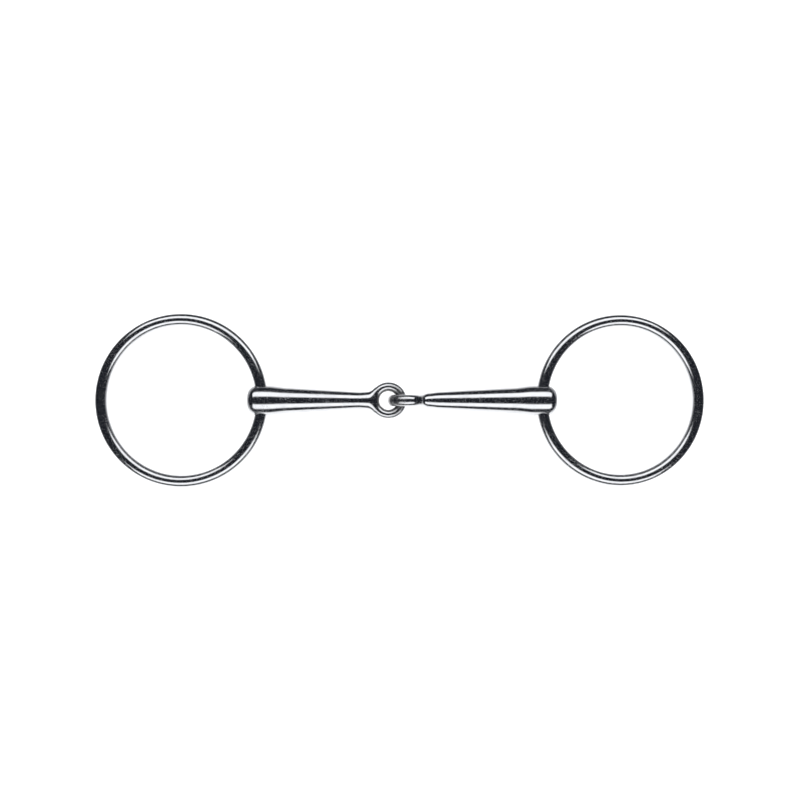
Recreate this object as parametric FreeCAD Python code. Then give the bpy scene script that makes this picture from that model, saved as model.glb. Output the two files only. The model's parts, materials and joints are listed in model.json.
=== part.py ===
"""Single-jointed loose-ring snaffle bit: two wire rings and two cannons that link eye to eye.

Millimetres, +Z up. The bit lies on a flat surface at z = 0 with its length along X. The origin is on
that surface, under the middle of the bit's overall length. The ring bores, the swing of the rings and
the fold of the mouthpiece all have their axes along Y.
"""

import FreeCAD, Part

import math
import os

from FreeCAD import Matrix, Vector

# Rings: a round wire bent to a circle
RING_INNER_DIAMETER = 69.0
WIRE_DIAMETER = 5.7

# Cannons, the two halves of the mouthpiece
LEFT_REACH = 58.7  # from the middle of the ring bore to the middle of the eye
RIGHT_REACH = 63.6
BOSS_DIAMETER = 14.4  # the thick outer end that the ring runs through
END_TO_BORE = 6.7  # from the end face to the middle of the ring bore
END_DOME = 0.5  # how far the end face bulges
END_CORNER = 3.2  # rounding between the end face and the side
LEFT_BOSS_LENGTH = 9.2  # from the end face to where the side starts to fall
RIGHT_BOSS_LENGTH = 11.2
SHOULDER_LENGTH = 9.0  # from there to where the plain taper starts
TAPER_DIAMETER = 12.4  # at the start of the plain taper
NECK_DIAMETER = 8.1  # at the end of it
NECK_TO_EYE = 13.2  # from that end to the middle of the eye

# Eyes: a closed loop of oval bar at the inner end of each cannon
EYE_HOLE_DIAMETER = 8.45
EYE_BAR_WIDTH = 4.4  # across the bar, in the plane of the eye
EYE_BAR_THICKNESS = 5.3  # along the eye's axis
ROOT_WIDTH = 8.4  # of the neck where it starts to flare into the eye, in the plane of the eye
ROOT_THICKNESS = 7.3  # there, along the eye's axis
ROOT_FILLET = 4.2  # of the flare's hollow, in the plane of the eye
ROOT_DEPTH = 1.4  # how far the flare's last section lies inside the bar, from outside to in
FLARE_DEGREE = 2  # of the surface through the flare's sections: a higher one swings past them

# Fits
RING_BORE_CLEARANCE = 0.35  # all round, between the bent wire and the straight bore
BORE_MOUTH_ROUNDING = 0.7
EYE_PLAY = 0.15  # between the two eyes when the bit is pulled straight

# What follows from the sizes above
WIRE_RADIUS = WIRE_DIAMETER / 2
RING_RADIUS = (RING_INNER_DIAMETER + WIRE_DIAMETER) / 2  # of the wire's centre circle
BOSS_RADIUS = BOSS_DIAMETER / 2
# Over the length of the bore, the wire bows away from a straight line by this much.
WIRE_BOW = RING_RADIUS - math.sqrt(RING_RADIUS**2 - BOSS_RADIUS**2)
BORE_RADIUS = WIRE_RADIUS + WIRE_BOW / 2 + RING_BORE_CLEARANCE
RING_OFFSET = RING_RADIUS - WIRE_BOW / 2  # from the bore's axis to the ring's centre
EYE_HOLE_RADIUS = EYE_HOLE_DIAMETER / 2
EYE_BAR_RADIUS = EYE_HOLE_RADIUS + EYE_BAR_WIDTH / 2  # of the bar's centre circle
EYE_RADIUS = EYE_HOLE_RADIUS + EYE_BAR_WIDTH
EYE_SPACING = EYE_HOLE_DIAMETER - EYE_PLAY
# The mouthpiece rests on its upright eye and its bosses, or on the bosses alone if they are thicker.
JOINT_HEIGHT = max(EYE_RADIUS, BOSS_RADIUS)

MATCH = 0.01  # how near an edge must lie to a named radius to be the one that is meant

AXIS_X = Vector(1, 0, 0)
AXIS_Y = Vector(0, 1, 0)
AXIS_Z = Vector(0, 0, 1)
ORIGIN = Vector(0, 0, 0)


def oval(half_y, half_z):
    """A closed wire about the origin, across X, in two halves that meet at its top and bottom."""
    squash = Matrix(1, 0, 0, 0, 0, half_y, 0, 0, 0, 0, half_z, 0, 0, 0, 0, 1)
    halves = []
    for start, middle in ((AXIS_Z, AXIS_Y), (-AXIS_Z, -AXIS_Y)):
        halves.append(Part.Arc(start, middle, -start).toShape().transformGeometry(squash))
    return Part.Wire(halves)


def cannon_bar(reach, boss_length):
    """The turned bar from its domed outer end to its neck. The eye's middle is the origin, the bar
    runs along +X."""
    end_x = reach + END_TO_BORE
    side_x = end_x - END_DOME - END_CORNER
    boss_x = end_x - boss_length
    taper_x = boss_x - SHOULDER_LENGTH
    neck_radius = NECK_DIAMETER / 2
    taper_radius = TAPER_DIAMETER / 2
    slope = (taper_radius - neck_radius) / (taper_x - NECK_TO_EYE)

    axis_start = Vector(NECK_TO_EYE, 0, 0)
    neck = Vector(NECK_TO_EYE, 0, neck_radius)
    taper = Vector(taper_x, 0, taper_radius)
    boss = Vector(boss_x, 0, BOSS_RADIUS)
    side = Vector(side_x, 0, BOSS_RADIUS)
    corner_middle = Vector(side_x, 0, BOSS_RADIUS - END_CORNER)
    corner = corner_middle + Vector(math.sqrt(0.5), 0, math.sqrt(0.5)) * END_CORNER
    face = corner_middle + AXIS_X * END_CORNER
    tip = Vector(end_x, 0, 0)
    dome_radius = (END_DOME**2 + face.z**2) / (2 * END_DOME)
    half_dome = math.asin(face.z / dome_radius) / 2
    dome = tip + Vector(math.cos(half_dome) - 1, 0, math.sin(half_dome)) * dome_radius

    shoulder = Part.BezierCurve()
    handle = SHOULDER_LENGTH / 2
    shoulder.setPoles([taper, taper + Vector(1, 0, slope) * handle, boss - AXIS_X * handle, boss])

    outline = Part.Wire(
        [
            Part.LineSegment(axis_start, neck).toShape(),
            Part.LineSegment(neck, taper).toShape(),
            shoulder.toShape(),
            Part.LineSegment(boss, side).toShape(),
            Part.Arc(side, corner, face).toShape(),
            Part.Arc(face, dome, tip).toShape(),
            Part.LineSegment(tip, axis_start).toShape(),
        ]
    )
    return Part.Face(outline).revolve(ORIGIN, AXIS_X, 360)


def eye():
    """The closed loop of oval bar, in the XY plane about the origin, with the flare that joins it to
    the neck."""
    section = oval(EYE_BAR_WIDTH / 2, EYE_BAR_THICKNESS / 2)
    section.translate(AXIS_Y * EYE_BAR_RADIUS)
    loop = Part.Face(section).revolve(ORIGIN, AXIS_Z, 360)

    # The hollow between neck and eye is an arc that touches the neck's side and the eye's outside.
    half_root = ROOT_WIDTH / 2
    root_x = math.sqrt((EYE_RADIUS + ROOT_FILLET) ** 2 - (half_root + ROOT_FILLET) ** 2)
    touch = Vector(root_x, half_root + ROOT_FILLET, 0) * (EYE_RADIUS / (EYE_RADIUS + ROOT_FILLET))
    last_x = EYE_BAR_RADIUS - ROOT_DEPTH / 2
    last_width = math.sqrt((EYE_RADIUS - ROOT_DEPTH / 2) ** 2 - last_x**2)

    def flare(share):
        """x and half width at a share of the way from the root to the touching point."""
        x = root_x + (touch.x - root_x) * share
        return x, half_root + ROOT_FILLET - math.sqrt(ROOT_FILLET**2 - (root_x - x) ** 2)

    half_eye = EYE_BAR_THICKNESS / 2
    half_thick = ROOT_THICKNESS / 2
    stations = [(NECK_TO_EYE, NECK_DIAMETER / 2, NECK_DIAMETER / 2), (root_x, half_root, half_thick)]
    for share in (0.5, 0.8, 1.0):
        x, half_width = flare(share)
        stations.append((x, half_width, half_thick + (half_eye - half_thick) * share))
    stations.append((last_x, last_width, half_eye - ROOT_DEPTH / 2))

    wires = []
    for x, half_y, half_z in stations:
        wire = oval(half_y, half_z)
        wire.translate(AXIS_X * x)
        wires.append(wire)
    flared_neck = Part.makeLoft(wires, True, False, False, FLARE_DEGREE)
    return loop.fuse(flared_neck)


def cannon(reach, boss_length, eye_turn):
    """One half of the mouthpiece, with its eye's middle at the origin and its bar along +X. eye_turn
    is the angle of the eye about the bar."""
    loop = eye()
    loop.rotate(ORIGIN, AXIS_X, eye_turn)
    whole = cannon_bar(reach, boss_length).fuse(loop)
    bore_start = Vector(reach, -BOSS_DIAMETER, 0)
    whole = whole.cut(Part.makeCylinder(BORE_RADIUS, 2 * BOSS_DIAMETER, bore_start, AXIS_Y))
    whole = whole.removeSplitter()
    mouths = [edge for edge in whole.Edges if is_bore_mouth(edge, reach)]
    return whole.makeFillet(BORE_MOUTH_ROUNDING, mouths).Solids[0]


def is_bore_mouth(edge, reach):
    """Whether an edge runs round the bore where it comes out of the boss."""
    middle = edge.valueAt((edge.FirstParameter + edge.LastParameter) / 2)
    off_axis = math.hypot(middle.x - reach, middle.z)
    return abs(off_axis - BORE_RADIUS) < MATCH and abs(middle.y) > BOSS_RADIUS / 2


def cannon_tilt(reach):
    """How far a cannon slopes down from its eye to its outer end, in radians, so that the boss's
    rounded lower corner rests on the surface."""
    run = reach + END_TO_BORE - END_DOME - END_CORNER
    drop = BOSS_RADIUS - END_CORNER
    return math.asin((JOINT_HEIGHT - END_CORNER) / math.hypot(run, drop)) - math.atan2(drop, run)


def ring_tilt(bore_z):
    """How far a ring slopes down from the bore, in radians, so that its far side rests."""
    return math.asin((bore_z - WIRE_RADIUS) / (RING_OFFSET + RING_RADIUS))


def ring():
    """The wire ring in the XY plane about the origin."""
    return Part.makeTorus(RING_RADIUS, WIRE_RADIUS)


def placed(shape, side, place, tilt):
    """A shape that was made pointing along +X, turned to point outwards on its side, which is 1 on
    the right and -1 on the left, tilted down by that many radians and moved to its place."""
    if side < 0:
        shape.rotate(ORIGIN, AXIS_Z, 180)
    shape.rotate(ORIGIN, AXIS_Y, side * math.degrees(tilt))
    shape.translate(place)
    return shape


class Side:
    """Where one half of the bit lies at rest, with its eye's middle at x = 0 and JOINT_HEIGHT up."""

    def __init__(self, reach):
        self.tilt = cannon_tilt(reach)
        self.bore_x = reach * math.cos(self.tilt)
        self.bore_z = JOINT_HEIGHT - reach * math.sin(self.tilt)
        self.ring_tilt = ring_tilt(self.bore_z)
        self.ring_x = self.bore_x + RING_OFFSET * math.cos(self.ring_tilt)
        self.ring_z = self.bore_z - RING_OFFSET * math.sin(self.ring_tilt)
        self.far_x = self.ring_x + RING_RADIUS * math.cos(self.ring_tilt) + WIRE_RADIUS


def main():
    left = Side(LEFT_REACH)
    right = Side(RIGHT_REACH)
    # The bit's overall length runs as far to the left of x = 0 as to the right.
    right_eye_x = (left.far_x + EYE_SPACING - right.far_x) / 2
    left_eye_x = right_eye_x - EYE_SPACING

    left_ring = placed(ring(), -1, Vector(left_eye_x - left.ring_x, 0, left.ring_z), left.ring_tilt)
    right_ring = placed(ring(), 1, Vector(right_eye_x + right.ring_x, 0, right.ring_z), right.ring_tilt)
    left_cannon = cannon(LEFT_REACH, LEFT_BOSS_LENGTH, 0)
    left_cannon = placed(left_cannon, -1, Vector(left_eye_x, 0, JOINT_HEIGHT), left.tilt)
    right_cannon = cannon(RIGHT_REACH, RIGHT_BOSS_LENGTH, 90)
    right_cannon = placed(right_cannon, 1, Vector(right_eye_x, 0, JOINT_HEIGHT), right.tilt)

    os.makedirs("parts", exist_ok=True)
    left_ring.exportStep("parts/left_ring.step")
    right_ring.exportStep("parts/right_ring.step")
    left_cannon.exportStep("parts/left_cannon.step")
    right_cannon.exportStep("parts/right_cannon.step")

    print("mouth joint axis at x", round(right_eye_x, 4), "z", round(JOINT_HEIGHT, 4))
    print("left ring axis at x", round(left_eye_x - left.bore_x, 4), "z", round(left.bore_z, 4))
    print("right ring axis at x", round(right_eye_x + right.bore_x, 4), "z", round(right.bore_z, 4))
    print("tilts", [round(math.degrees(t), 3) for t in (left.tilt, left.ring_tilt, right.ring_tilt)])


main()
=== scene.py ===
"""Looks of a single-jointed loose-ring snaffle bit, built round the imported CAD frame.

The two loose rings are swept from wire by Geometry Nodes. Each cannon, one half of the mouthpiece, is a cage
of quads that is subdivided and then drawn onto the cannon's own rule: a turned bar with a domed end, a
drilled and rounded ring bore, and a forged eye that flows out of the neck. Shape sizes are in millimetres,
the finished meshes, the camera and the lights are in metres.
"""

import json
import math

import bmesh
import bpy
import numpy as np
from mathutils import Matrix, Vector


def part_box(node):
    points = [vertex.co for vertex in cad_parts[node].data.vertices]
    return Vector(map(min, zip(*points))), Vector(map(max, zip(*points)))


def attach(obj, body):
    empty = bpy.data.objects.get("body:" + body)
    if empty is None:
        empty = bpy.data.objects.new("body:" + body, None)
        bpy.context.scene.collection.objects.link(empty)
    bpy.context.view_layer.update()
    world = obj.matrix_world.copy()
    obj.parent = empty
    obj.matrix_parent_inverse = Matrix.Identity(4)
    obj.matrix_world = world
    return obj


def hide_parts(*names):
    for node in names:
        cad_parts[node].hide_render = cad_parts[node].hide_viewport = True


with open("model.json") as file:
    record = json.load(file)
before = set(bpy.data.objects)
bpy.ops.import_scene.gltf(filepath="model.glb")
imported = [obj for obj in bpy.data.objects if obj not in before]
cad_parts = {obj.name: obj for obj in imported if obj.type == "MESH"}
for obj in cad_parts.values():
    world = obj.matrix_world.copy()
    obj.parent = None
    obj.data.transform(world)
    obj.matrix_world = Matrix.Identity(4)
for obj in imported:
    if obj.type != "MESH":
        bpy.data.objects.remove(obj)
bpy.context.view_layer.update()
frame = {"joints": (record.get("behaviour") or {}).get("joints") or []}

MM = 0.001

# Rings: round wire bent to a circle
WIRE_DIAMETER = 5.7
RING_INNER_DIAMETER = 69.0
RING_STEPS = 288
WIRE_STEPS = 32
RING_WAVINESS = 0.012  # how far hand polishing leaves the wire from true
RING_WAVE_SCALE = 95.0  # of the noise behind it, per metre
RING_SEED_STEP = 7.31  # from one ring's noise to the next one's

# Cannons, the two halves of the mouthpiece
LEFT_REACH = 58.7  # from the middle of the ring bore to the middle of the eye
RIGHT_REACH = 63.6
BOSS_DIAMETER = 14.4
END_TO_BORE = 6.7
END_DOME = 0.5  # how far the end face bulges
END_CORNER = 3.2  # rounding between the end face and the side
LEFT_BOSS_LENGTH = 9.2
RIGHT_BOSS_LENGTH = 11.2
SHOULDER_LENGTH = 9.0  # from the boss to where the plain taper starts
TAPER_DIAMETER = 12.4
NECK_DIAMETER = 8.1
NECK_TO_EYE = 13.2
EYE_HOLE_DIAMETER = 8.45
EYE_BAR_WIDTH = 4.4  # in the plane of the eye
EYE_BAR_THICKNESS = 5.3  # along the eye's axis
ROOT_WIDTH = 8.4  # of the neck where it starts to flare into the eye
ROOT_THICKNESS = 7.3
ROOT_FILLET = 4.2  # of the flare's hollow
ROOT_DEPTH = 1.4  # how far the flare reaches into the eye's bar
ROOT_LEAD = 0.5  # the flare's section gives way to the turned bar's from here, before the root,
NECK_LEAD = 1.5  # to here, past the end of the taper
BORE_CLEARANCE = 0.35
BORE_MOUTH_ROUNDING = 0.7
EYE_BLEND = 1.2  # over which the flare and the eye's bar melt into each other
CANNON_WAVINESS = 0.01

# What follows from the sizes above
WIRE_RADIUS = WIRE_DIAMETER / 2
RING_RADIUS = (RING_INNER_DIAMETER + WIRE_DIAMETER) / 2
BOSS_RADIUS = BOSS_DIAMETER / 2
WIRE_BOW = RING_RADIUS - math.sqrt(RING_RADIUS**2 - BOSS_RADIUS**2)
BORE_RADIUS = WIRE_RADIUS + WIRE_BOW / 2 + BORE_CLEARANCE
RING_OFFSET = RING_RADIUS - WIRE_BOW / 2
EYE_HOLE_RADIUS = EYE_HOLE_DIAMETER / 2
EYE_BAR_RADIUS = EYE_HOLE_RADIUS + EYE_BAR_WIDTH / 2
EYE_RADIUS = EYE_HOLE_RADIUS + EYE_BAR_WIDTH

# Cage of a cannon
AROUND = 16  # corners of each ring of the cage; four of them span a bore or the eye's joint
EYE_STEPS = 8  # corners across the eye's bar
BAR_RINGS = 12  # of the cage, along the taper and the shoulder
SUBDIVISIONS = 3
FIRST_ROUNDS, RELAX_ROUNDS, ROUND_STEPS, LAST_ROUNDS = 8, 6, 2, 4  # of drawing the mesh onto the rule
LARGEST_STEP = 0.6  # of one such round
SLOPE_STEP = 0.001  # for the slope of the cannon's rule
SMOOTHING = 15  # places of the bar's table that are averaged, to soften its changes of slope
TABLE_SPACING = 0.05
TINY = 1e-9  # keeps a division from failing at the middle of an oval


def smooth_step(low, high, value):
    share = np.clip((value - low) / (high - low), 0.0, 1.0)
    return share * share * (3 - 2 * share)


def rounded_both(first, second, radius):
    """Distance to the inside of both shapes, with a circular rounding along their shared edge."""
    corner = np.hypot(np.maximum(first + radius, 0), np.maximum(second + radius, 0))
    return np.minimum(np.maximum(first, second), -radius) + corner


def melted(first, second, width):
    """Distance to either shape, with a soft hollow where they meet."""
    share = np.maximum(width - np.abs(first - second), 0) / width
    return np.minimum(first, second) - share * share * width / 4


def oval_distance(across, up, half_across, half_up):
    """Distance to the inside of an oval, exact near its edge."""
    near = np.hypot(across / half_across, up / half_up) + TINY
    steep = np.hypot(across / half_across**2, up / half_up**2) + TINY
    return near * (near - 1) / steep


def averaged(values, places):
    """Each value's average with its neighbours."""
    return np.convolve(np.pad(values, places // 2, "edge"), np.ones(places) / places, "valid")


class Cannon:
    """One half of the mouthpiece. The eye's middle is the origin, the eye lies in the XY plane and the bar
    runs along +X. The ring bore is square to the bar: along Y, or along Z if the eye is turned."""

    def __init__(self, reach, boss_length, turned):
        self.reach = reach
        self.turned = turned
        self.end_x = reach + END_TO_BORE
        self.boss_x = self.end_x - boss_length
        self.taper_x = self.boss_x - SHOULDER_LENGTH
        self.dome_face = BOSS_RADIUS - END_CORNER
        self.dome_radius = (END_DOME**2 + self.dome_face**2) / (2 * END_DOME)
        half_root = ROOT_WIDTH / 2
        self.root_x = math.sqrt((EYE_RADIUS + ROOT_FILLET) ** 2 - (half_root + ROOT_FILLET) ** 2)
        self.touch_x = self.root_x * EYE_RADIUS / (EYE_RADIUS + ROOT_FILLET)
        self.inner_x = EYE_BAR_RADIUS - ROOT_DEPTH / 2
        self.section_table()

    def section_table(self):
        """Half width and half thickness of the bar along X, from inside the eye's bar to the end."""
        x = np.arange(self.inner_x - 1, self.end_x + 1, TABLE_SPACING)
        neck, taper = NECK_DIAMETER / 2, TAPER_DIAMETER / 2
        slope = (taper - neck) / (self.taper_x - NECK_TO_EYE)
        turned_bar = neck + slope * (x - NECK_TO_EYE)
        share = np.clip((x - self.taper_x) / SHOULDER_LENGTH, 0, 1)
        rise = (share**3 - 2 * share**2 + share) * slope * SHOULDER_LENGTH
        step = share * share * (3 - 2 * share)
        shoulder = taper + rise + (BOSS_RADIUS - taper) * step
        turned_bar = np.where(x > self.taper_x, shoulder, turned_bar)

        half_root = ROOT_WIDTH / 2
        into = np.clip(self.root_x - x, 0, self.root_x - self.touch_x)
        flare = half_root + ROOT_FILLET - np.sqrt(ROOT_FILLET**2 - into**2)
        inset = np.clip(self.touch_x - x, 0, None) / (self.touch_x - self.inner_x) * ROOT_DEPTH / 2
        within = np.sqrt(np.maximum((EYE_RADIUS - inset) ** 2 - x**2, 0.01))
        flare = np.where(x < self.touch_x, within, flare)
        half_eye = EYE_BAR_THICKNESS / 2
        marks = (self.inner_x, self.touch_x, self.root_x)
        thick = np.interp(x, marks, (half_eye - ROOT_DEPTH / 2, half_eye, ROOT_THICKNESS / 2))

        to_bar = smooth_step(self.root_x - ROOT_LEAD, NECK_TO_EYE + NECK_LEAD, x)
        width = flare * (1 - to_bar) + turned_bar * to_bar
        thick = thick * (1 - to_bar) + turned_bar * to_bar
        self.table_x = x
        self.table_width = averaged(width, SMOOTHING)
        self.table_thick = averaged(thick, SMOOTHING)

    def half_sizes(self, x):
        return np.interp(x, self.table_x, self.table_width), np.interp(x, self.table_x, self.table_thick)

    def bore_sides(self, points):
        """Across the bore's axis, and along it."""
        if self.turned:
            return points[:, 1], points[:, 2]
        return points[:, 2], points[:, 1]

    def distance(self, points):
        """The rule: below zero inside the steel, above it outside."""
        x, y, z = points.T
        half_width, half_thick = self.half_sizes(x)
        bar = np.maximum(oval_distance(y, z, half_width, half_thick), self.inner_x - x)
        dome_rise = np.sqrt(np.maximum(self.dome_radius**2 - y**2 - z**2, 0)) - self.dome_radius
        dome = x - self.end_x - dome_rise
        bar = rounded_both(bar, dome, END_CORNER)
        across = np.hypot(x, y) - EYE_BAR_RADIUS
        eye = oval_distance(across, z, EYE_BAR_WIDTH / 2, EYE_BAR_THICKNESS / 2)
        steel = melted(bar, eye, EYE_BLEND)
        side, _ = self.bore_sides(points)
        bore = BORE_RADIUS - np.hypot(x - self.reach, side)
        return rounded_both(steel, bore, BORE_MOUTH_ROUNDING)

    def slope(self, points):
        result = np.empty_like(points)
        for axis in range(3):
            step = np.zeros(3)
            step[axis] = SLOPE_STEP
            ahead, behind = self.distance(points + step), self.distance(points - step)
            result[:, axis] = (ahead - behind) / (2 * SLOPE_STEP)
        return result

    def drawn(self, points, rounds):
        """The points moved onto the surface that the rule describes."""
        for _ in range(rounds):
            slope = self.slope(points)
            reach = self.distance(points) / np.maximum((slope**2).sum(1), 0.05)
            points = points - slope * np.clip(reach, -LARGEST_STEP, LARGEST_STEP)[:, None]
        return points


class Cage:
    """Corners and quads, put together ring by ring."""

    def __init__(self, cannon):
        self.cannon = cannon
        self.corners = []
        self.quads = []

    def corner(self, x, y, z):
        self.corners.append((x, y, z))
        return len(self.corners) - 1

    def bar_ring(self, x, skipped=()):
        """A ring of corners on the bar's section at x, drawn in where the end is rounded."""
        half_width, half_thick = self.cannon.half_sizes(x)
        half_width, half_thick = float(half_width), float(half_thick)
        side_x = self.cannon.end_x - END_DOME - END_CORNER
        if x > side_x:
            shrink = END_CORNER - math.sqrt(max(END_CORNER**2 - (x - side_x) ** 2, 0))
            half_width, half_thick = half_width - shrink, half_thick - shrink
        ring = []
        for index in range(AROUND):
            angle = 2 * math.pi * index / AROUND
            y, z = half_width * math.cos(angle), half_thick * math.sin(angle)
            ring.append(None if index in skipped else self.corner(x, y, z))
        return ring

    def bridge(self, first, second):
        """Quads between two rings, except where a corner is left out for an opening."""
        for index in range(AROUND):
            after = (index + 1) % AROUND
            quad = (first[index], first[after], second[after], second[index])
            if None not in quad:
                self.quads.append(quad)

    def eye(self):
        """The eye's bar, open where the neck joins it. Gives the opening's corners in the neck's order."""
        steps = []
        for major in range(AROUND):
            turn = 2 * math.pi * major / AROUND
            steps.append([])
            for minor in range(EYE_STEPS):
                lean = 2 * math.pi * minor / EYE_STEPS
                gone = major in (15, 0, 1) and minor in (7, 0, 1)
                radius = EYE_BAR_RADIUS + EYE_BAR_WIDTH / 2 * math.cos(lean)
                height = EYE_BAR_THICKNESS / 2 * math.sin(lean)
                place = (radius * math.cos(turn), radius * math.sin(turn), height)
                steps[-1].append(None if gone else self.corner(*place))
        for major in range(AROUND):
            for minor in range(EYE_STEPS):
                a, b = steps[major], steps[(major + 1) % AROUND]
                after = (minor + 1) % EYE_STEPS
                quad = (a[minor], b[minor], b[after], a[after])
                if None not in quad:
                    self.quads.append(quad)
        side = [(2, minor) for minor in (0, 1, 2)]
        top = [(major, 2) for major in (1, 0, 15, 14)]
        far_side = [(14, minor) for minor in (1, 0, 7, 6)]
        bottom = [(major, 6) for major in (15, 0, 1, 2)]
        return [steps[major][minor] for major, minor in side + top + far_side + bottom + [(2, 7)]]

    def between(self, first, second, share):
        """A ring at a share of the way between two rings."""
        ring = []
        for a, b in zip(first, second):
            start, stop = Vector(self.corners[a]), Vector(self.corners[b])
            ring.append(self.corner(*start.lerp(stop, share)))
        return ring

    def bore(self, rings):
        """The drilled hole between its two openings in the bar's side."""
        turn = 4 if self.cannon.turned else 0
        along = (4, 4, 4, 3, 2, 1, 0, 0, 0, 0, 0, 1, 2, 3, 4, 4)
        about = (0, 1, 2, 2, 2, 2, 2, 1, 0, -1, -2, -2, -2, -2, -2, -1)
        near = [rings[a][(b + turn) % AROUND] for a, b in zip(along, about)]
        far = [rings[a][(8 - b + turn) % AROUND] for a, b in zip(along, about)]
        mouth = BORE_RADIUS + BORE_MOUTH_ROUNDING
        depths = ((mouth + 0.25, 1.0), (BORE_RADIUS + 0.05, 0.87), (BORE_RADIUS, 0.45))
        loops = [near]
        for side in (1, 0, -1):
            levels = depths if side > 0 else depths[::-1]
            if side == 0:
                levels = ((BORE_RADIUS, 0.0),)
            for radius, depth in levels:
                loops.append([])
                for index in range(AROUND):
                    angle = 2 * math.pi * index / AROUND
                    x = self.cannon.reach + radius * math.cos(angle)
                    across = radius * math.sin(angle)
                    out = side * depth * math.sqrt(BOSS_RADIUS**2 - across**2)
                    y, z = (-across, out) if self.cannon.turned else (out, across)
                    loops[-1].append(self.corner(x, y, z))
        loops.append(far)
        for first, second in zip(loops, loops[1:]):
            self.bridge(first, second)

    def end_cap(self, ring):
        """Four by four quads that close the domed end."""
        x, radius = self.corners[ring[0]][:2]
        grid = {}
        for column in range(-2, 3):
            for row in range(-2, 3):
                size = max(abs(column), abs(row))
                angle = math.atan2(row, column)
                if size == 2:
                    if abs(column) == 2:
                        index = row if column > 0 else 8 - row
                    else:
                        index = 4 - column if row > 0 else 12 + column
                    grid[column, row] = ring[index % AROUND]
                else:
                    out = radius * size / 2
                    dome_x = x + (self.cannon.end_x - x) * (1 - size / 2)
                    grid[column, row] = self.corner(dome_x, out * math.cos(angle), out * math.sin(angle))
        for column in range(-2, 2):
            for row in range(-2, 2):
                quad = [grid[column, row], grid[column + 1, row], grid[column + 1, row + 1]]
                self.quads.append((*quad, grid[column, row + 1]))

    def build(self):
        """The whole cage: eye, neck, taper, the block that the bore is drilled in, and the end."""
        cannon = self.cannon
        opening = self.eye()
        first = self.bar_ring((cannon.touch_x + cannon.root_x) / 2 + 0.4)
        middle = self.between(opening, first, 0.5)
        rings = [opening, middle, first, self.bar_ring(cannon.root_x + 0.4)]
        rings.append(self.bar_ring((cannon.root_x + NECK_TO_EYE) / 2 + 0.3))
        half_block = BORE_RADIUS + BORE_MOUTH_ROUNDING + 0.45
        block_x = cannon.reach - half_block
        for step in range(BAR_RINGS):
            rings.append(self.bar_ring(NECK_TO_EYE + (block_x - NECK_TO_EYE) * step / BAR_RINGS))
        turn = 4 if cannon.turned else 0
        inner = [(index + turn) % AROUND for index in (15, 0, 1, 7, 8, 9)]
        block = []
        for step in range(5):
            skipped = inner if 0 < step < 4 else ()
            block.append(self.bar_ring(block_x + 2 * half_block * step / 4, skipped))
        rings += block
        corner_x = cannon.end_x - END_DOME
        rings.append(self.bar_ring(corner_x - 1.1))
        rings.append(self.bar_ring(corner_x - 0.12))
        for one, other in zip(rings, rings[1:]):
            self.bridge(one, other)
        self.bore(block)
        self.end_cap(rings[-1])


def subdivided(cage, name):
    """The cage as a mesh object, subdivided, with its faces outwards."""
    mesh = bpy.data.meshes.new(name)
    mesh.from_pydata(cage.corners, [], cage.quads)
    shaper = bmesh.new()
    shaper.from_mesh(mesh)
    bmesh.ops.recalc_face_normals(shaper, faces=shaper.faces)
    shaper.to_mesh(mesh)
    shaper.free()
    piece = bpy.data.objects.new(name, mesh)
    bpy.context.scene.collection.objects.link(piece)
    smoother = piece.modifiers.new("smooth", "SUBSURF")
    smoother.levels = SUBDIVISIONS
    smoother.render_levels = SUBDIVISIONS
    depsgraph = bpy.context.evaluated_depsgraph_get()
    depsgraph.update()
    fine = bpy.data.meshes.new_from_object(piece.evaluated_get(depsgraph))
    piece.modifiers.clear()
    piece.data = fine
    fine.name = name
    bpy.data.meshes.remove(mesh)
    return piece


def positions(mesh):
    flat = np.empty(len(mesh.vertices) * 3)
    mesh.vertices.foreach_get("co", flat)
    return flat.reshape(-1, 3)


def relaxed(points, edges):
    """Each point drawn half way to the middle of its neighbours."""
    total = np.zeros_like(points)
    count = np.zeros(len(points))
    for one, other in ((0, 1), (1, 0)):
        np.add.at(total, edges[:, one], points[edges[:, other]])
        np.add.at(count, edges[:, one], 1)
    return points + 0.5 * (total / count[:, None] - points)


def waviness(points, seed):
    """A gentle unevenness between about -1 and 1, as polishing by hand leaves."""
    chance = np.random.default_rng(seed)
    total = np.zeros(len(points))
    for _ in range(9):
        direction = chance.normal(size=3)
        direction /= np.linalg.norm(direction)
        length = chance.uniform(5.0, 13.0)
        total += np.sin(points @ direction * (2 * math.pi / length) + chance.uniform(0, 2 * math.pi))
    return total / 5


def set_attribute(mesh, name, values):
    attribute = mesh.attributes.new(name, "FLOAT", "POINT")
    attribute.data.foreach_set("value", values.astype(np.float32))


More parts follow.
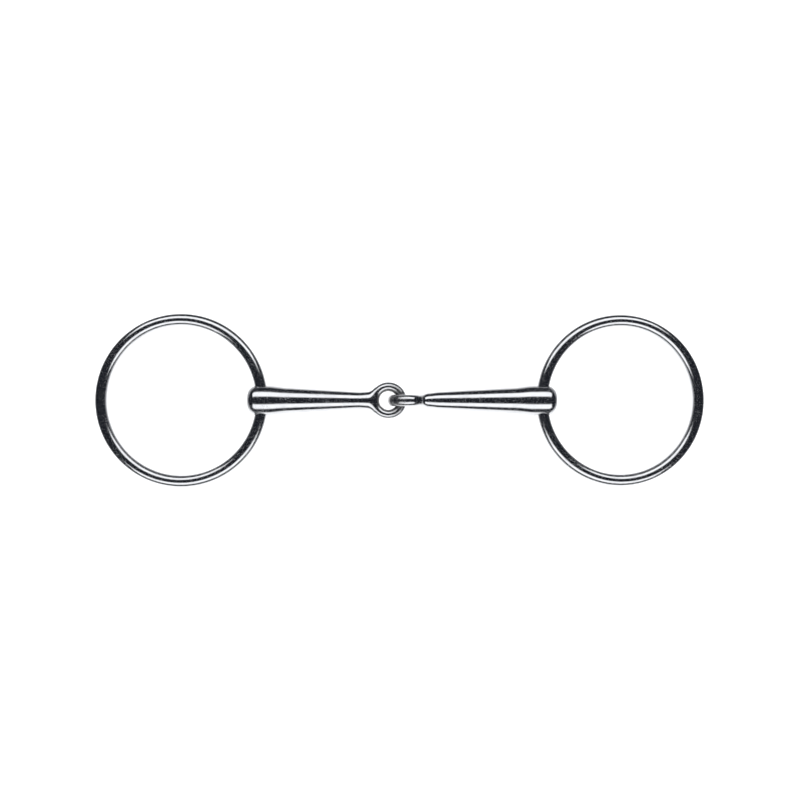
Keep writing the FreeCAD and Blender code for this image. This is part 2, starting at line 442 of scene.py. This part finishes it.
def wear_and_painted_shade(cannon, points):
    """How shaded and dulled, how rubbed and how true the steel is at each point. The bore and the eye, most
    of all on its inside and toward the other eye, are dulled and darkened with painted shade. The bore's
    mouths and the link are rubbed."""
    side, depth = cannon.bore_sides(points)
    from_bore = np.hypot(points[:, 0] - cannon.reach, side)
    from_eye = np.hypot(points[:, 0], points[:, 1])
    # painted shade: the bore's inside is darkened as well as made rougher
    bore = 1 - smooth_step(BORE_RADIUS + 0.05, BORE_RADIUS + 0.5, from_bore)
    mouth = 1 - smooth_step(BORE_RADIUS + 0.2, BORE_RADIUS + 2.2, from_bore)
    mouth *= smooth_step(2.0, 5.0, np.abs(depth))
    hole = 1 - smooth_step(EYE_HOLE_RADIUS + 0.2, EYE_HOLE_RADIUS + 1.6, from_eye)
    linked = smooth_step(-1.0, -3.5, points[:, 0]) * hole
    toward_link = 1 - smooth_step(-5.0, 1.5, points[:, 0])
    if not cannon.turned:
        rim = smooth_step(EYE_BAR_RADIUS + 0.5, EYE_RADIUS - 0.3, from_eye)
        toward_link = toward_link * (1 - rim)
    # painted shade: the eye's inside, and the eye toward the other eye, are darkened where shade falls in the
    # joint, as well as made rougher
    shaded_and_dulled = np.maximum(hole * (0.75 + 0.25 * toward_link), 0.55 * toward_link)
    # The bore and the eye's inside stay true, so that the wire and the other eye keep their room.
    true = np.maximum(1 - smooth_step(BORE_RADIUS, BORE_RADIUS + 2, from_bore), hole)
    return np.maximum(bore, shaded_and_dulled), np.clip(0.8 * mouth + linked, 0, 1), true


def make_cannon(name, cannon, place, seed):
    """A finished cannon at its place in the frame."""
    cage = Cage(cannon)
    cage.build()
    piece = subdivided(cage, name)
    mesh = piece.data
    edges = np.empty(len(mesh.edges) * 2, int)
    mesh.edges.foreach_get("vertices", edges)
    edges = edges.reshape(-1, 2)
    points = cannon.drawn(positions(mesh), FIRST_ROUNDS)
    for _ in range(RELAX_ROUNDS):
        points = cannon.drawn(relaxed(points, edges), ROUND_STEPS)
    points = cannon.drawn(points, LAST_ROUNDS)
    normals = cannon.slope(points)
    normals /= np.linalg.norm(normals, axis=1)[:, None]

    shaded_and_dulled, rubbed, true = wear_and_painted_shade(cannon, points)
    points = points + normals * (waviness(points, seed) * CANNON_WAVINESS * (1 - true))[:, None]
    # painted shade and dullness go onto the mesh as one attribute, for the steel to darken and roughen by
    set_attribute(mesh, "shaded_and_dulled", shaded_and_dulled)
    set_attribute(mesh, "rubbed", rubbed)
    mesh.vertices.foreach_set("co", points.ravel())
    mesh.transform(place @ Matrix.Scale(MM, 4))
    mesh.shade_smooth()
    mesh.update()
    return piece


def joint_place(name):
    found = next(joint for joint in frame["joints"] if joint["name"] == name)
    return Vector(found["pos_m"])


def add_node(tree, kind, inputs, settings):
    """A node with its settings, its inputs linked where they are sockets and set where they are values."""
    made = tree.nodes.new(kind)
    for key, value in settings.items():
        setattr(made, key, value)
    for key, value in (inputs or {}).items():
        if isinstance(value, bpy.types.NodeSocket):
            tree.links.new(value, made.inputs[key])
        else:
            made.inputs[key].default_value = value
    return made


class Sweep:
    """A Geometry Nodes tree in the making."""

    def __init__(self, name, sizes):
        self.tree = bpy.data.node_groups.new(name, "GeometryNodeTree")
        sockets = self.tree.interface
        sockets.new_socket("Geometry", in_out="INPUT", socket_type="NodeSocketGeometry")
        self.inputs = {}
        for label, kind in sizes.items():
            self.inputs[label] = sockets.new_socket(label, in_out="INPUT", socket_type=kind)
        sockets.new_socket("Geometry", in_out="OUTPUT", socket_type="NodeSocketGeometry")
        self.start = self.node("NodeGroupInput")

    def node(self, kind, inputs=None, **settings):
        return add_node(self.tree, kind, inputs, settings)

    def size(self, label):
        return self.start.outputs[label]


def ring_sweep():
    """Wire swept round a circle, and left a little uneven by its polishing."""
    sweep = Sweep("bent_wire_ring", {
        "Ring Radius": "NodeSocketFloat", "Wire Radius": "NodeSocketFloat",
        "Ring Steps": "NodeSocketInt", "Wire Steps": "NodeSocketInt",
        "Waviness": "NodeSocketFloat", "Seed": "NodeSocketInt", "Steel": "NodeSocketMaterial",
    })
    circle = sweep.node("GeometryNodeCurvePrimitiveCircle", {
        "Resolution": sweep.size("Ring Steps"), "Radius": sweep.size("Ring Radius")})
    section = sweep.node("GeometryNodeCurvePrimitiveCircle", {
        "Resolution": sweep.size("Wire Steps"), "Radius": sweep.size("Wire Radius")})
    wire = sweep.node("GeometryNodeCurveToMesh", {
        "Curve": circle.outputs["Curve"], "Profile Curve": section.outputs["Curve"]})
    seed = sweep.node("ShaderNodeMath", {0: sweep.size("Seed"), 1: RING_SEED_STEP}, operation="MULTIPLY")
    noise = sweep.node("ShaderNodeTexNoise", {
        "W": seed.outputs[0], "Scale": RING_WAVE_SCALE, "Detail": 1.0}, noise_dimensions="4D")
    centred = sweep.node("ShaderNodeMath", {0: noise.outputs["Fac"], 1: 0.5}, operation="SUBTRACT")
    height = sweep.node("ShaderNodeMath", {0: centred.outputs[0], 1: sweep.size("Waviness")},
                        operation="MULTIPLY")
    normal = sweep.node("GeometryNodeInputNormal")
    push = sweep.node("ShaderNodeVectorMath", {0: normal.outputs[0], "Scale": height.outputs[0]},
                      operation="SCALE")
    wavy = sweep.node("GeometryNodeSetPosition", {"Geometry": wire.outputs["Mesh"],
                                                 "Offset": push.outputs["Vector"]})
    smooth = sweep.node("GeometryNodeSetShadeSmooth", {"Geometry": wavy.outputs["Geometry"]})
    whole = sweep.node("GeometryNodeRealizeInstances", {"Geometry": smooth.outputs["Geometry"]})
    dressed = sweep.node("GeometryNodeSetMaterial", {
        "Geometry": whole.outputs["Geometry"], "Material": sweep.size("Steel")})
    sweep.node("NodeGroupOutput", {0: dressed.outputs["Geometry"]})
    return sweep


def make_ring(name, sweep, steel, place, seed):
    """A finished ring at its place in the frame."""
    piece = bpy.data.objects.new(name, bpy.data.meshes.new(name + "_start"))
    bpy.context.scene.collection.objects.link(piece)
    maker = piece.modifiers.new("wire", "NODES")
    maker.node_group = sweep.tree
    sizes = {
        "Ring Radius": RING_RADIUS * MM, "Wire Radius": WIRE_RADIUS * MM,
        "Ring Steps": RING_STEPS, "Wire Steps": WIRE_STEPS,
        "Waviness": RING_WAVINESS * MM, "Seed": seed, "Steel": steel,
    }
    for label, value in sizes.items():
        maker[sweep.inputs[label].identifier] = value
    depsgraph = bpy.context.evaluated_depsgraph_get()
    depsgraph.update()
    mesh = bpy.data.meshes.new_from_object(piece.evaluated_get(depsgraph))
    piece.modifiers.clear()
    piece.data = mesh
    mesh.name = name
    mesh.transform(place)
    shaper = bmesh.new()
    shaper.from_mesh(mesh)
    bmesh.ops.recalc_face_normals(shaper, faces=shaper.faces)
    shaper.to_mesh(mesh)
    shaper.free()
    return piece


class Finish:
    """A material in the making, round one Principled shader."""

    def __init__(self, name):
        self.material = bpy.data.materials.new(name)
        self.material.use_nodes = True
        self.tree = self.material.node_tree
        self.shader = self.tree.nodes["Principled BSDF"]
        self.coordinates = self.node("ShaderNodeTexCoord")

    def node(self, kind, inputs=None, **settings):
        return add_node(self.tree, kind, inputs, settings)

    def math(self, operation, first, second, clamp=False):
        made = self.node("ShaderNodeMath", {0: first, 1: second}, operation=operation, use_clamp=clamp)
        return made.outputs[0]

    def remap(self, value, low, high, to_low, to_high):
        made = self.node("ShaderNodeMapRange", {"Value": value, "From Min": low, "From Max": high,
                                                "To Min": to_low, "To Max": to_high})
        return made.outputs["Result"]

    def noise(self, scale, detail, stretch=(1, 1, 1), turn=(0, 0, 0)):
        mapped = self.node("ShaderNodeMapping", {"Vector": self.coordinates.outputs["Object"],
                                                 "Scale": stretch, "Rotation": turn})
        made = self.node("ShaderNodeTexNoise", {"Vector": mapped.outputs["Vector"], "Scale": scale,
                                                "Detail": detail})
        return made.outputs["Fac"]

    def attribute(self, name):
        return self.node("ShaderNodeAttribute", attribute_name=name).outputs["Fac"]

    def blend(self, share, first, second):
        made = self.node("ShaderNodeMix", {"Factor": share}, data_type="RGBA")
        for socket, value in ((made.inputs[6], first), (made.inputs[7], second)):
            if isinstance(value, bpy.types.NodeSocket):
                self.tree.links.new(value, socket)
            else:
                socket.default_value = value
        return made.outputs[2]

    def connect(self, value, socket):
        self.tree.links.new(value, self.shader.inputs[socket])

    def fine_scratches(self, stretches):
        """Hairline wiping marks: thin crests of stretched noise, added up over a few directions."""
        total = None
        for scale, stretch, turn in stretches:
            crest = self.remap(self.noise(scale, 2.0, stretch, turn), 0.60, 0.72, 0.0, 1.0)
            total = crest if total is None else self.math("MAXIMUM", total, crest)
        return total


# Steel: colours, one of them the near-black of painted shade, and how rough it is where it is clear, clouded,
# scratched, pitted, rubbed and dulled
POLISHED = (0.66, 0.67, 0.69, 1)
HAZED = (0.56, 0.57, 0.60, 1)
# painted shade: the colour that the bore and the eye are darkened toward
PAINTED_SHADE = (0.16, 0.15, 0.14, 1)
CLEAR, CLOUDED = 0.055, 0.105
SCRATCHED, PITTED, RUBBED, DULLED = 0.09, 0.34, 0.12, 0.3  # added to that
CLOUD_SCALE, PIT_SCALE, RIPPLE_SCALE = 160.0, 2600.0, 420.0  # of the noise, per metre
SCRATCHES = (  # scale, stretch and turn of each direction of wiping
    (900.0, (0.06, 1, 1), (0, 0, 0.35)),
    (1100.0, (1, 0.05, 1), (0, 0.2, -0.5)),
    (700.0, (0.08, 1, 1), (0.4, 0, -0.9)),
)
SCRATCH_DEPTH, RIPPLE_HEIGHT = -0.6, 0.5
BUMP_STRENGTH, BUMP_DISTANCE = 0.06, 0.0001


def polished_steel(name, worn_and_shaded):
    """Mirror-polished stainless steel: faint clouding, hairline scratches and fine pits. A worn piece is also
    rubbed, and dulled and darkened with painted shade, as its attributes say."""
    finish = Finish(name)
    finish.shader.inputs["Metallic"].default_value = 1.0
    clouds = finish.noise(CLOUD_SCALE, 3.0)
    pits = finish.noise(PIT_SCALE, 2.0)
    scratches = finish.fine_scratches(SCRATCHES)
    rough = finish.remap(clouds, 0.35, 0.7, CLEAR, CLOUDED)
    rough = finish.math("ADD", rough, finish.math("MULTIPLY", scratches, SCRATCHED))
    rough = finish.math("ADD", rough, finish.remap(pits, 0.50, 0.72, 0.0, PITTED))
    haze = finish.remap(clouds, 0.45, 0.75, 0.0, 0.5)
    color = finish.blend(haze, POLISHED, HAZED)
    if worn_and_shaded:
        patchy = finish.remap(pits, 0.3, 0.6, 0.4, 1.0)
        rubbed = finish.math("MULTIPLY", finish.attribute("rubbed"), patchy)
        rough = finish.math("ADD", rough, finish.math("MULTIPLY", rubbed, RUBBED))
        color = finish.blend(finish.math("MULTIPLY", rubbed, 0.5), color, HAZED)
        # painted shade: the colour is darkened toward near-black in the bore and the eye, and the steel made
        # rougher there
        shaded_and_dulled = finish.attribute("shaded_and_dulled")
        rough = finish.math("ADD", rough, finish.math("MULTIPLY", shaded_and_dulled, DULLED), clamp=True)
        color = finish.blend(finish.math("MULTIPLY", shaded_and_dulled, 0.75), color, PAINTED_SHADE)
    ripples = finish.math("MULTIPLY", finish.noise(RIPPLE_SCALE, 1.0), RIPPLE_HEIGHT)
    height = finish.math("ADD", finish.math("MULTIPLY", scratches, SCRATCH_DEPTH), ripples)
    bump = finish.node("ShaderNodeBump", {
        "Height": height, "Strength": BUMP_STRENGTH, "Distance": BUMP_DISTANCE})
    finish.connect(color, "Base Color")
    finish.connect(rough, "Roughness")
    finish.connect(bump.outputs["Normal"], "Normal")
    return finish.material


FLOOR_TONES = ((0.90, 0.90, 0.90, 1), (0.92, 0.92, 0.92, 1))
FLOOR_HALF = 3.0


def pale_floor():
    """A plain white table top. The steel doesn't mirror it: it mirrors the world's own table instead."""
    finish = Finish("pale_floor")
    finish.shader.inputs["Roughness"].default_value = 0.7
    finish.shader.inputs["Specular IOR Level"].default_value = 0.2
    tone = finish.remap(finish.noise(3.0, 2.0), 0.3, 0.7, 0.0, 1.0)
    finish.connect(finish.blend(tone, *FLOOR_TONES), "Base Color")
    half = FLOOR_HALF
    mesh = bpy.data.meshes.new("floor")
    mesh.from_pydata([(-half, -half, 0), (half, -half, 0), (half, half, 0), (-half, half, 0)], [],
                     [(0, 1, 2, 3)])
    mesh.materials.append(finish.material)
    floor = bpy.data.objects.new("floor", mesh)
    floor.visible_glossy = False
    bpy.context.scene.collection.objects.link(floor)


# Studio: a long softbox on each side of the mouthpiece, and nothing at its ends
TARGET = (-0.0012, 0.0002)  # what the camera points at, in X and Y
CAMERA_HEIGHT = 0.5
CAMERA_YAW = math.radians(1.9)
SENSOR_WIDTH = 36.0
FRAME_WIDTH = 0.3705  # of what the camera takes in, at the mouthpiece
SOFTBOX_DISTANCE = 0.9
SOFTBOX_ZENITH = math.radians(47)
SOFTBOX_LENGTH = 1.7
SOFTBOXES = ((0.69, 0.66), (0.50, 0.84))  # width and brightness of the nested panels, the nearer one last
SOFTBOX_GAP = 0.01  # between them
OVERHEAD_SIZE = 12.0
OVERHEAD_HEIGHT = 2.5
OVERHEAD_BRIGHTNESS = 2.8
# The mirrored table: the height of a direction where it starts to show and where it is bright, and by how
# much both change toward +Y and toward the bit's two ends
TABLE_START, TABLE_START_LEAN, TABLE_START_ENDS = -0.17, -0.10, 0.12
TABLE_FULL, TABLE_FULL_LEAN, TABLE_FULL_ENDS = -0.50, -0.28, -0.35
TABLE_GLOW = 1.42
STUDIO_AIR = (0.020, 0.022, 0.028, 1)
BACKDROP = (0.95, 0.95, 0.96, 1)


def softboxes(target):
    """A long softbox on each side, brighter in its middle: a narrow panel in front of a wide one."""
    for side in (1, -1):
        back = Vector((0, side * math.sin(SOFTBOX_ZENITH), math.cos(SOFTBOX_ZENITH)))
        for index, (width, brightness) in enumerate(SOFTBOXES):
            light = bpy.data.lights.new("softbox", "AREA")
            light.shape = "RECTANGLE"
            light.size = SOFTBOX_LENGTH
            light.size_y = width
            light.energy = brightness * math.pi * SOFTBOX_LENGTH * width
            lamp = bpy.data.objects.new("softbox", light)
            lamp.location = target + back * (SOFTBOX_DISTANCE - SOFTBOX_GAP * index)
            lamp.rotation_euler = back.to_track_quat("Z", "Y").to_euler()
            lamp.visible_camera = False
            bpy.context.scene.collection.objects.link(lamp)


def overhead(target):
    """Light for the table alone, so that it is white without lighting the steel."""
    light = bpy.data.lights.new("overhead", "AREA")
    light.size = OVERHEAD_SIZE
    light.energy = OVERHEAD_BRIGHTNESS * math.pi * OVERHEAD_SIZE**2
    lamp = bpy.data.objects.new("overhead", light)
    lamp.location = target + Vector((0, 0, OVERHEAD_HEIGHT))
    lamp.visible_camera = False
    lamp.visible_glossy = False
    bpy.context.scene.collection.objects.link(lamp)


def studio_world():
    """What the steel mirrors where there is no softbox: dark studio air down to a little below the horizon,
    and the white table further down. The backdrop that the camera sees is pale."""
    world = bpy.data.worlds.new("studio")
    world.use_nodes = True
    tree = world.node_tree
    tree.nodes.clear()

    def node(kind, inputs=None, **settings):
        return add_node(tree, kind, inputs, settings)

    direction = node("ShaderNodeTexCoord").outputs["Generated"]
    split = node("ShaderNodeSeparateXYZ", {"Vector": direction}).outputs

    def lean(middle, slope, ends):
        along = node("ShaderNodeMath", {0: split["X"]}, operation="ABSOLUTE").outputs[0]
        made = node("ShaderNodeMath", {0: along, 1: ends, 2: middle}, operation="MULTIPLY_ADD").outputs[0]
        made = node("ShaderNodeMath", {0: split["Y"], 1: slope, 2: made}, operation="MULTIPLY_ADD")
        return made.outputs[0]

    down = node("ShaderNodeMapRange", {
        "Value": split["Z"], "From Min": lean(TABLE_START, TABLE_START_LEAN, TABLE_START_ENDS),
        "From Max": lean(TABLE_FULL, TABLE_FULL_LEAN, TABLE_FULL_ENDS)}).outputs["Result"]
    dark = node("ShaderNodeBackground", {"Color": STUDIO_AIR})
    table = node("ShaderNodeBackground", {"Color": (1, 1, 1, 1), "Strength": TABLE_GLOW})
    pale = node("ShaderNodeBackground", {"Color": BACKDROP})
    mirrored = node("ShaderNodeMixShader", {0: down, 1: dark.outputs[0], 2: table.outputs[0]})
    seen = node("ShaderNodeLightPath").outputs["Is Camera Ray"]
    mix = node("ShaderNodeMixShader", {0: seen, 1: mirrored.outputs[0], 2: pale.outputs[0]})
    node("ShaderNodeOutputWorld", {0: mix.outputs[0]})
    bpy.context.scene.world = world


def make_camera(target):
    """Straight above the bit, a little to one side, level with its length."""
    data = bpy.data.cameras.new("camera")
    data.sensor_width = SENSOR_WIDTH
    data.lens = data.sensor_width * CAMERA_HEIGHT / FRAME_WIDTH
    data.clip_start = 0.01
    camera = bpy.data.objects.new("camera", data)
    back = Vector((-math.sin(CAMERA_YAW), 0, math.cos(CAMERA_YAW)))
    camera.location = target + back * CAMERA_HEIGHT
    turn = Matrix.Rotation(-CAMERA_YAW, 4, "Y")
    camera.rotation_euler = turn.to_euler()
    bpy.context.scene.collection.objects.link(camera)
    bpy.context.scene.camera = camera


def cannon_place(origin, toward, turned):
    """Where a cannon's own frame goes: origin at the eye's middle, X toward the bore."""
    x_axis = (toward - origin).normalized()
    y_axis = Vector((0, 1, 0))
    z_axis = x_axis.cross(y_axis)
    axes = Matrix((x_axis, y_axis, z_axis)).transposed().to_4x4()
    if turned:
        axes = axes @ Matrix.Rotation(math.pi / 2, 4, "X")
    return Matrix.Translation(origin) @ axes


def ring_place(bore, side, node):
    """Where a ring's own frame goes. It droops from the bore until its far side lies on the table."""
    low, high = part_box(node)
    half_height = (high.z - low.z) / 2 - WIRE_RADIUS * MM
    droop = math.asin(half_height / (RING_RADIUS * MM))
    out = Vector((side * math.cos(droop), 0, -math.sin(droop)))
    centre = bore + out * (RING_OFFSET * MM)
    return Matrix.Translation(centre) @ Matrix.Rotation(side * droop, 4, "Y")


fold = joint_place("mouth_fold")
left_bore, right_bore = joint_place("left_ring_swing"), joint_place("right_ring_swing")
left_slope = math.asin((fold.z - left_bore.z) / (LEFT_REACH * MM))
left_eye = left_bore + Vector((math.cos(left_slope), 0, math.sin(left_slope))) * LEFT_REACH * MM

mouthpiece_steel = polished_steel("mouthpiece_steel", worn_and_shaded=True)
ring_steel = polished_steel("ring_steel", worn_and_shaded=False)
cannons = {
    "left": make_cannon("left_mouthpiece", Cannon(LEFT_REACH, LEFT_BOSS_LENGTH, False),
                        cannon_place(left_eye, left_bore, False), 3),
    "right": make_cannon("right_mouthpiece", Cannon(RIGHT_REACH, RIGHT_BOSS_LENGTH, True),
                         cannon_place(fold, right_bore, True), 5),
}
sweep = ring_sweep()
rings = {
    "left": make_ring("left_wire_ring", sweep, ring_steel, ring_place(left_bore, -1, "left_ring"), 11),
    "right": make_ring("right_wire_ring", sweep, ring_steel, ring_place(right_bore, 1, "right_ring"), 12),
}
for side, half, loose_ring in (("left", "left_half", "left_loose_ring"),
                               ("right", "right_half", "right_loose_ring")):
    cannons[side].data.materials.append(mouthpiece_steel)
    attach(cannons[side], half)
    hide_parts(side + "_cannon")
    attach(rings[side], loose_ring)
    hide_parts(side + "_ring")

target = Vector((*TARGET, BOSS_RADIUS * MM))
pale_floor()
softboxes(target)
overhead(target)
studio_world()
make_camera(target)
bpy.context.scene.view_settings.view_transform = "Standard"
